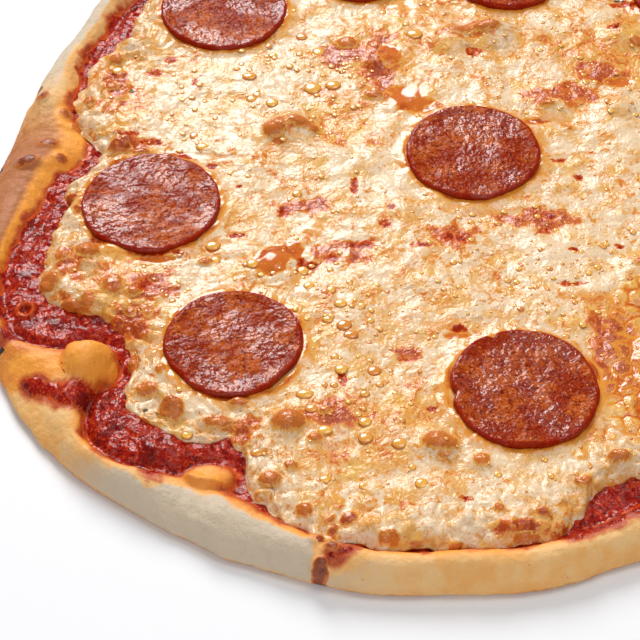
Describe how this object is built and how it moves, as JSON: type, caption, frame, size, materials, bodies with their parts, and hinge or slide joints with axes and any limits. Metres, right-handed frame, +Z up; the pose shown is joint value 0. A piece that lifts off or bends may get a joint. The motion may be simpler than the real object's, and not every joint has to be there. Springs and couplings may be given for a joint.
{
  "type": "pepperoni pizza",
  "caption": "Whole pizza on a thin, hand-stretched crust, with tomato sauce, melted cheese and slices of pepperoni.",
  "frame": {"origin": "on the table, under the middle of the crust", "axes": "+Z up out of the toppings, -Y towards the side that the picture shows in front, +X to its right"},
  "size_m": [0.3257, 0.331, 0.0136],
  "materials": {
    "baked_dough": "baked dough, matte, dusted with flour and browned in spots",
    "tomato_sauce": "cooked tomato sauce, moist and grainy",
    "melted_cheese": "melted mozzarella with a soft sheen, stained with orange oil",
    "cured_meat": "baked pepperoni, oily and finely pitted, darker at its edge"
  },
  "bodies": {
    "root": {"crust": "baked_dough", "sauce": "tomato_sauce", "cheese": "melted_cheese", "pepperoni_01": "cured_meat", "pepperoni_02": "cured_meat", "pepperoni_03": "cured_meat", "pepperoni_04": "cured_meat", "pepperoni_05": "cured_meat", "pepperoni_06": "cured_meat", "pepperoni_07": "cured_meat", "pepperoni_08": "cured_meat", "pepperoni_09": "cured_meat", "pepperoni_10": "cured_meat", "pepperoni_11": "cured_meat"}
  },
  "joints": []
}
